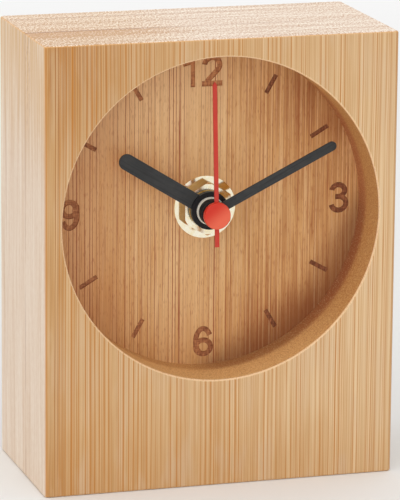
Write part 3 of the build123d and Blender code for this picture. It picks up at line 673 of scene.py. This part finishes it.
def painted(hand, paint, worn, hub, hub_sheen, back, roughness):
    """Paint brushed along a hand, with fine orange peel, a hub of another colour with a painted sheen
    on one side, and a bare back.
    """
    finish = Finish(hand + "_paint")
    x, y, z = finish.spot
    outward, hub_radius = hand_shape(hand)
    along = finish.weighted((x, outward.x), (z, outward.y))
    across = finish.weighted((x, -outward.y), (z, outward.x))
    tone = finish.noise((0.35, 0.35, 0.35), detail=4.0, roughness=0.7)
    brush = finish.noise((0.1, 0.0, 2.2), detail=3.0, spot=(along, y, across))
    peel = finish.noise((9.0, 9.0, 9.0))
    coat = finish.ramp(tone, (0.38, paint), (0.68, worn))
    coat = finish.over(coat, hub, finish.step(brush, 0.48, 0.66), 0.4)
    on_hub = finish.math("LESS_THAN", finish.reach(x, z), hub_radius + 0.1)
    # Painted sheen on the lower right of the hub
    lightened = finish.step(finish.weighted((x, 0.6), (z, -0.8)), -0.7 * hub_radius, 0.6 * hub_radius)
    coat = finish.over(coat, finish.over(hub, hub_sheen, lightened), on_hub)
    on_back = finish.step(finish.split(finish.normal())[1], 0.5, 0.9)
    finish.surface(
        Base_Color=finish.over(coat, back, on_back),
        Roughness=finish.about(roughness, 0.16, peel),
        Specular_IOR_Level=0.3,
    )
    finish.bump(peel, 0.012, 0.35)
    return finish.material


def moulded(name, ground, roughness, speck_share=1.25, scale=6.0):
    """Moulded plastic with a fine spark-eroded grain."""
    finish = Finish(name)
    tone = finish.noise((0.2, 0.2, 0.2), detail=3.0)
    grain = finish.noise((scale, scale, scale))
    speckle = finish.weighted((tone, 0.6), (grain, 0.4))
    speck = tuple(min(1.0, v * speck_share) for v in ground)
    finish.surface(
        Base_Color=finish.ramp(speckle, (0.35, ground), (0.65, speck)),
        Roughness=finish.about(roughness, 0.2, grain),
    )
    finish.bump(grain, 0.02, 0.4)
    return finish.material


def wound_wire(name, look):
    """Copper winding whose turns lie side by side along x."""
    finish = Finish(name)
    turns = finish.math("SINE", finish.times(finish.spot[0], 2 * math.pi * MM / look.wire))
    height = finish.weighted((turns, 0.5), plus=0.5)
    dark = tuple(v * 0.55 for v in look.copper)
    finish.surface(
        Base_Color=finish.ramp(height, (0.1, dark), (0.7, look.copper)),
        Metallic=0.8,
        Roughness=finish.about(0.35, 0.3, finish.noise((2.0, 2.0, 2.0))),
    )
    finish.bump(turns, 0.03, 0.6)
    return finish.material


def circuit(name, ground):
    """Green resist with paler tracks under it."""
    finish = Finish(name)
    inputs = {"Vector": finish.stretched((0.5, 0.0, 0.5)), "Scale": 1.0}
    cells = finish.node("ShaderNodeTexVoronoi", inputs, "Distance", distance="MANHATTAN")
    track = finish.between(cells, 0.4, 0.52, 0.02)
    pale = tuple(min(1.0, v * 1.9) for v in ground)
    finish.surface(
        Base_Color=finish.over(ground, pale, track),
        Roughness=finish.weighted((track, -0.1), plus=0.35),
    )
    finish.bump(track, 0.02, 0.4)
    return finish.material


def battery_finish(name, look):
    """Printed sleeve with a pale band, and bare steel at both ends."""
    finish = Finish(name)
    x = finish.spot[0]
    scuff = finish.noise((0.5, 2.0, 2.0), detail=4.0)
    sleeve = finish.between(x, BATTERY_LEFT + BARE_LEFT, BATTERY_RIGHT - BARE_RIGHT, 0.05)
    band = finish.between(x, BATTERY_RIGHT - BAND_FROM, BATTERY_RIGHT - BAND_TO, 0.04)
    printed = finish.over(look.sleeve, look.sleeve_band, band)
    printed = finish.over(printed, look.sleeve_band, finish.step(scuff, 0.62, 0.8), 0.25)
    finish.surface(
        Base_Color=finish.over(look.battery_steel, printed, sleeve),
        Metallic=finish.math("SUBTRACT", 1.0, sleeve),
        Roughness=finish.about(0.32, 0.2, scuff),
    )
    finish.bump(scuff, 0.01, 0.3)
    return finish.material


def dress(finish, *nodes):
    """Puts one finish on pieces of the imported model."""
    for node in nodes:
        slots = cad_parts[node].data.materials
        slots.clear()
        slots.append(finish)


def arc(centre, radii, start, end):
    """Points along part of an ellipse, with angles in degrees from the right."""
    points = []
    for step in range(ARC_STEPS + 1):
        angle = math.radians(start + (end - start) * step / ARC_STEPS)
        points.append((centre[0] + radii[0] * math.cos(angle), centre[1] + radii[1] * math.sin(angle)))
    return points


def ribbon(line, width, closed):
    """Left and right edges of a stroke of even width along a line of points."""
    count = len(line)
    edges = []
    for i, (u, v) in enumerate(line):
        before = line[(i - 1) % count] if closed or i else line[i]
        after = line[(i + 1) % count] if closed or i < count - 1 else line[i]
        along = Vector((after[0] - before[0], after[1] - before[1])).normalized()
        across = Vector((-along.y, along.x)) * width / 2
        edges.append((Vector((u, v)) + across, Vector((u, v)) - across))
    return edges


def add_stroke(mesh, line, width, place, front_y, back_y, closed=False):
    """Solid stroke in a bmesh; place turns a point of the drawing into x and z of the frame."""
    rows = []
    for left, right in ribbon(line, width, closed):
        corners = [(left, front_y), (right, front_y), (right, back_y), (left, back_y)]
        rows.append([mesh.verts.new((place(p).x, y, place(p).y)) for p, y in corners])
    pairs = list(zip(rows, rows[1:]))
    if closed:
        pairs.append((rows[-1], rows[0]))
    for a, b in pairs:
        for i in range(4):
            j = (i + 1) % 4
            mesh.faces.new((a[i], a[j], b[j], b[i]))
    if not closed:
        mesh.faces.new(rows[0][::-1])
        mesh.faces.new(rows[-1])


def piece_from(mesh, name, finish):
    """Object made from a bmesh, in the frame, with all its faces looking outwards."""
    bmesh.ops.recalc_face_normals(mesh, faces=mesh.faces[:])
    data = bpy.data.meshes.new(name)
    mesh.to_mesh(data)
    mesh.free()
    data.materials.append(finish)
    piece = bpy.data.objects.new(name, data)
    bpy.context.scene.collection.objects.link(piece)
    return piece


def numeral_strokes(marks):
    """Strokes of each numeral as (line, width, closed), in metres about its centre."""
    wide = (marks.width - marks.stroke) / 2
    high = (marks.height - marks.stroke) / 2
    stroke = marks.stroke
    bowl = 0.55 * high
    low_bowl = (0.0, bowl - high)
    six = [
        (arc((0.0, 0.0), (wide, high), 28, 250), stroke, False),
        (arc(low_bowl, (wide, bowl), 0, 345), stroke, True),
    ]
    nine = [([(-u, -v) for u, v in line], width, closed) for line, width, closed in six]
    waist = 0.07 * high
    upper = (high - waist) / 2
    lower = (high + waist) / 2
    three = [
        (arc((-0.05 * wide, waist + upper), (0.88 * wide, upper), 172, -90), stroke, False),
        (arc((0.0, waist - lower), (wide, lower), 90, -172), stroke, False),
        ([(-0.45 * wide, waist), (0.15 * wide, waist)], stroke, False),
    ]
    head = arc((0.0, 0.42 * high), (wide, 0.58 * high), 174, -30)
    two = [
        (head + [(-0.8 * wide, -0.88 * high)], stroke, False),
        ([(-marks.width / 2, -high), (marks.width / 2, -high)], stroke, False),
    ]
    stem = [(0.0, marks.height / 2), (0.0, -marks.height / 2)]
    flag = [(0.0, 0.86 * high), (-0.45 * wide, 0.68 * high), (-1.3 * wide, 0.54 * high)]
    one = [(line, 0.8 * stroke, False) for line in (stem, flag)]
    return {"1": one, "2": two, "3": three, "6": six, "9": nine}


class ClockOperator:
    """What the operators share."""

    bl_options = {"REGISTER", "UNDO"}


class CLOCK_OT_boards(ClockOperator, bpy.types.Operator):
    """Gives the middle and back boards their bamboo"""

    bl_idname = "clock.boards"
    bl_label = "Middle and back boards"

    def execute(self, context):
        look = context.scene.clock_bamboo
        dress(bamboo("bamboo_boards", look), "middle_board", "back_board")
        return {"FINISHED"}


class CLOCK_OT_dial(ClockOperator, bpy.types.Operator):
    """Cuts the numerals and hour bars into the front board"""

    bl_idname = "clock.dial"
    bl_label = "Front board and dial"

    def cutter(self, marks):
        """All the marks as solids that reach from before the dial to the cut's floor."""
        mesh = bmesh.new()
        strokes = numeral_strokes(marks)
        front_y, back_y = DIAL_Y - marks.depth, DIAL_Y + marks.depth
        shaft = Vector((SHAFT.x, SHAFT.z))
        turned = Matrix.Rotation(marks.turn, 2)

        def placed_at(centre):
            return lambda point: shaft + turned @ (Vector(centre) + Vector(point))

        twelve_height = marks.ring - marks.twelve_drop
        one_place = (ONE_SHIFT * marks.width - marks.lean, twelve_height)
        two_place = (TWO_SHIFT * marks.width - marks.lean, twelve_height)
        numerals = [("1", one_place), ("2", two_place), ("3", (marks.ring + marks.three_reach, 0.0))]
        numerals += [("6", (-marks.lean, -marks.ring)), ("9", (-marks.ring, 0.0))]
        for digit, centre in numerals:
            for line, width, closed in strokes[digit]:
                add_stroke(mesh, line, width, placed_at(centre), front_y, back_y, closed)
        for hour in range(12):
            if hour % 3:
                angle = math.radians(90 - 30 * hour)
                outward = Vector((math.cos(angle), math.sin(angle)))
                bar = [outward * marks.bar_inner, outward * marks.bar_outer]
                add_stroke(mesh, bar, marks.bar_width, placed_at((0.0, 0.0)), front_y, back_y)
        return piece_from(mesh, "mark_cutter", burnt_wood("burnt_marks", marks))

    def execute(self, context):
        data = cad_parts["front_board"].data.copy()
        data.attributes.remove(data.attributes["custom_normal"])
        data.materials.clear()
        data.materials.append(bamboo("bamboo_front", context.scene.clock_bamboo, has_dial=True))
        board = bpy.data.objects.new("carved_front_board", data)
        context.scene.collection.objects.link(board)
        cutter = self.cutter(context.scene.clock_marks)
        cut = board.modifiers.new("marks", "BOOLEAN")
        cut.object = cutter
        cut.operation = "DIFFERENCE"
        cut.solver = "EXACT"
        cut.use_self = True
        cut.material_mode = "TRANSFER"
        carved = bpy.data.meshes.new_from_object(board.evaluated_get(context.evaluated_depsgraph_get()))
        board.modifiers.clear()
        board.data = carved
        bpy.data.objects.remove(cutter)
        carved.shade_smooth()
        carved.set_sharp_from_angle(angle=SHARP_EDGE)
        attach(board, "case")
        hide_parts("front_board")
        return {"FINISHED"}


class CLOCK_OT_brass(ClockOperator, bpy.types.Operator):
    """Polishes the bushing, washer and nut"""

    bl_idname = "clock.brass"
    bl_label = "Brass fittings"

    def execute(self, context):
        look = context.scene.clock_fittings
        dress(polished_metal("washer_brass", look.brass, look.brass_worn, 0.1), "brass_washer")
        nut = polished_metal("nut_brass", look.brass, look.brass_worn, 0.18, flats=look.brass_flat)
        dress(nut, "hex_nut", "threaded_bushing")
        return {"FINISHED"}


class CLOCK_OT_hands(ClockOperator, bpy.types.Operator):
    """Paints the three hands"""

    bl_idname = "clock.hands"
    bl_label = "Hands"

    def execute(self, context):
        look = context.scene.clock_fittings
        back = look.hand_back
        for hand in ("hour_hand", "minute_hand"):
            dress(painted(hand, look.hand, look.hand_worn, look.hub, look.hub, back, 0.5), hand)
        hand = "second_hand"
        dress(painted(hand, look.second, look.second_worn, look.cap, look.cap_sheen, back, 0.38), hand)
        return {"FINISHED"}


class CLOCK_OT_movement(ClockOperator, bpy.types.Operator):
    """Finishes the housing, cover, knob and gasket, and adds the moulded signs"""

    bl_idname = "clock.movement"
    bl_label = "Movement case"

    def signs(self, look, plastic):
        """Plus and minus over the ends of the battery, and a turning arrow round the knob."""
        mesh = bmesh.new()
        half = look.sign_height / 2
        cover_low, cover_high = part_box("movement_cover")
        sign_z = cover_low.z + 1.5 * look.sign_height
        inset = 2 * look.sign_height
        across = [(-half, 0.0), (half, 0.0)]
        upright = [(0.0, -half), (0.0, half)]
        plus_place = Vector((cover_high.x - inset, sign_z))
        minus_place = Vector((cover_low.x + inset, sign_z))
        strokes = [(across, plus_place), (upright, plus_place), (across, minus_place)]
        knob = Vector((KNOB.x, KNOB.z))
        knob_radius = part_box("set_knob")[1].x - KNOB.x
        sweep = knob_radius + 1.2 * look.sign_height / 2
        turn = arc((0.0, 0.0), (sweep, sweep), 170, 100)
        strokes.append((turn, knob))
        tip = Vector(turn[-1])
        along = (tip - Vector(turn[-2])).normalized()
        outward = tip.normalized()
        for side in (-1, 1):
            barb = tip - (along - side * 0.8 * outward) * half
            strokes.append(([tuple(tip + along * half / 3), tuple(barb)], knob))
        foot_y = cover_high.y - look.sign_rise
        for order, (line, centre) in enumerate(strokes):
            top_y = cover_high.y + look.sign_rise * (1.0 - SIGN_STEP * order)
            add_stroke(mesh, line, look.sign_stroke, lambda p, c=centre: c + Vector(p), foot_y, top_y)
        return piece_from(mesh, "moulded_signs", plastic)

    def execute(self, context):
        look = context.scene.clock_movement
        plastic = moulded("housing_plastic", look.housing, 0.5)
        dress(plastic, "movement_housing", "movement_cover")
        dress(moulded("knob_plastic", look.knob, 0.42), "set_knob")
        dress(moulded("gasket_rubber", look.housing, 0.8, scale=3.0), "rubber_gasket")
        # Signs in a lighter plastic that carries their painted highlight
        signs = self.signs(look, moulded("sign_plastic", look.sign, 0.35))
        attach(signs, "case")
        return {"FINISHED"}


class CLOCK_OT_train(ClockOperator, bpy.types.Operator):
    """Finishes the wheels and pinions inside the movement"""

    bl_idname = "clock.train"
    bl_label = "Gear train"

    def execute(self, context):
        look = context.scene.clock_movement
        wheels = ["hour_wheel", "minute_wheel", "second_wheel", "third_wheel", "intermediate_wheel"]
        wheels += ["rotor_pinion", "motion_wheel", "set_pinion"]
        dress(moulded("wheel_plastic", look.gear, 0.4, speck_share=1.06), *wheels)
        dress(moulded("bridge_plastic", look.gear, 0.45, speck_share=0.9), "train_bridge")
        return {"FINISHED"}


class CLOCK_OT_motor(ClockOperator, bpy.types.Operator):
    """Finishes the stepping motor, circuit and contacts"""

    bl_idname = "clock.motor"
    bl_label = "Motor and circuit"

    def execute(self, context):
        look = context.scene.clock_movement
        steel = (look.steel, look.steel_dull)
        dress(polished_metal("stator_steel", *steel, 0.3, (0.4, 6.0, 6.0)), "stator", "coil_core")
        nickel = polished_metal("contact_nickel", *steel, 0.2, (6.0, 6.0, 0.4))
        dress(nickel, "positive_contact", "negative_contact")
        dress(polished_metal("crystal_can_metal", *steel, 0.14), "quartz_crystal")
        dress(polished_metal("magnet_ferrite", look.magnet, look.magnet_dull, 0.5), "rotor_magnet")
        dress(moulded("bobbin_plastic", look.bobbin, 0.45), "coil_bobbin")
        dress(wound_wire("copper_winding", look), "coil_winding")
        dress(circuit("circuit_resist", look.board), "circuit_board")
        dress(moulded("chip_resin", look.chip, 0.3), "clock_chip")
        return {"FINISHED"}


class CLOCK_OT_battery(ClockOperator, bpy.types.Operator):
    """Prints the battery's sleeve"""

    bl_idname = "clock.battery"
    bl_label = "Battery"

    def execute(self, context):
        dress(battery_finish("battery_print", context.scene.clock_movement), "battery_cell")
        return {"FINISHED"}


class CLOCK_OT_stage(ClockOperator, bpy.types.Operator):
    """Adds the floor, the soft light and the camera"""

    bl_idname = "clock.stage"
    bl_label = "Stage"

    def lamp(self, context, name, watts, size, place):
        """Square soft light that looks at the shaft."""
        data = bpy.data.lights.new(name, "AREA")
        data.energy = watts
        data.size = size
        lamp = bpy.data.objects.new(name, data)
        lamp.location = place
        lamp.visible_glossy = False
        lamp.rotation_euler = (SHAFT - Vector(place)).to_track_quat("-Z", "Y").to_euler()
        context.scene.collection.objects.link(lamp)

    def floor(self, look):
        """Pale paper that keeps the shadow near the clock and looks white further off."""
        mesh = bmesh.new()
        bmesh.ops.create_grid(mesh, x_segments=8, y_segments=8, size=FLOOR_REACH)
        finish = Finish("floor_paper")
        x, y, _ = finish.spot
        tone = finish.noise((0.004, 0.004, 0.0))
        shade = tuple(0.985 * v for v in look.floor)
        finish.surface(Base_Color=finish.ramp(tone, (0.4, shade), (0.6, look.floor)), Roughness=0.8)
        far = finish.step(finish.reach(x, y), *WHITENING)
        white = finish.node("ShaderNodeEmission", {"Color": WHITE, "Strength": 1.0})
        parts = {0: finish.times(finish.seen(), far), 1: finish.shader.outputs[0], 2: white}
        both = finish.node("ShaderNodeMixShader", parts)
        finish.feed(finish.tree.nodes["Material Output"].inputs["Surface"], both)
        floor = piece_from(mesh, "floor", finish.material)
        floor.location.z = -FLOOR_GAP

    def sky(self, context, look):
        """White to the camera and to mirrors, and softer as a light."""
        world = bpy.data.worlds.new("soft_sky")
        world.use_nodes = True
        nodes = NodeTree(world.node_tree)
        background = nodes.tree.nodes["Background"]
        strength = nodes.node("ShaderNodeMapRange", {"Value": nodes.seen(), "To Min": look.sky})
        nodes.feed(background.inputs["Color"], WHITE)
        nodes.feed(background.inputs["Strength"], strength)
        context.scene.world = world

    def camera(self, context, look):
        """Camera that stands where the photograph was taken from."""
        data = bpy.data.cameras.new("photo_view")
        data.lens = look.lens
        data.clip_start = 0.01
        camera = bpy.data.objects.new("photo_view", data)
        turned = Matrix.Translation(look.eye)
        for angle, axis in ((-look.yaw, "Z"), (math.pi / 2 - look.pitch, "X"), (look.roll, "Z")):
            turned = turned @ Matrix.Rotation(angle, 4, axis)
        camera.matrix_world = turned
        context.scene.collection.objects.link(camera)
        context.scene.camera = camera

    def execute(self, context):
        look = context.scene.clock_stage
        self.floor(look)
        self.sky(context, look)
        for name, (size, place) in LIGHTS.items():
            self.lamp(context, name, getattr(look, name), size, place)
        self.camera(context, look)
        context.scene.view_settings.view_transform = "Standard"
        return {"FINISHED"}


LOOKS = {
    "clock_bamboo": BambooLook,
    "clock_marks": DialMarks,
    "clock_fittings": FittingLook,
    "clock_movement": MovementLook,
    "clock_stage": StageLook,
}
OPERATORS = [
    CLOCK_OT_boards,
    CLOCK_OT_dial,
    CLOCK_OT_brass,
    CLOCK_OT_hands,
    CLOCK_OT_movement,
    CLOCK_OT_train,
    CLOCK_OT_motor,
    CLOCK_OT_battery,
    CLOCK_OT_stage,
]


class CLOCK_PT_sidebar(bpy.types.Panel):
    """Lists the clock's operators and their settings"""

    bl_label = "Table clock"
    bl_idname = "CLOCK_PT_sidebar"
    bl_space_type = "VIEW_3D"
    bl_region_type = "UI"
    bl_category = "Clock"

    def draw(self, context):
        for operator in OPERATORS:
            self.layout.operator(operator.bl_idname)
        for name, look in LOOKS.items():
            box = self.layout.box()
            settings = getattr(context.scene, name)
            for setting in look.__annotations__:
                box.prop(settings, setting)


CLASSES = [*LOOKS.values(), *OPERATORS, CLOCK_PT_sidebar]


def register():
    for item in CLASSES:
        bpy.utils.register_class(item)
    for name, look in LOOKS.items():
        setattr(bpy.types.Scene, name, PointerProperty(type=look))


def unregister():
    for name in LOOKS:
        delattr(bpy.types.Scene, name)
    for item in reversed(CLASSES):
        bpy.utils.unregister_class(item)


def main():
    register()
    for operator in OPERATORS:
        group, name = operator.bl_idname.split(".")
        getattr(getattr(bpy.ops, group), name)()


if __name__ == "__main__":
    main()
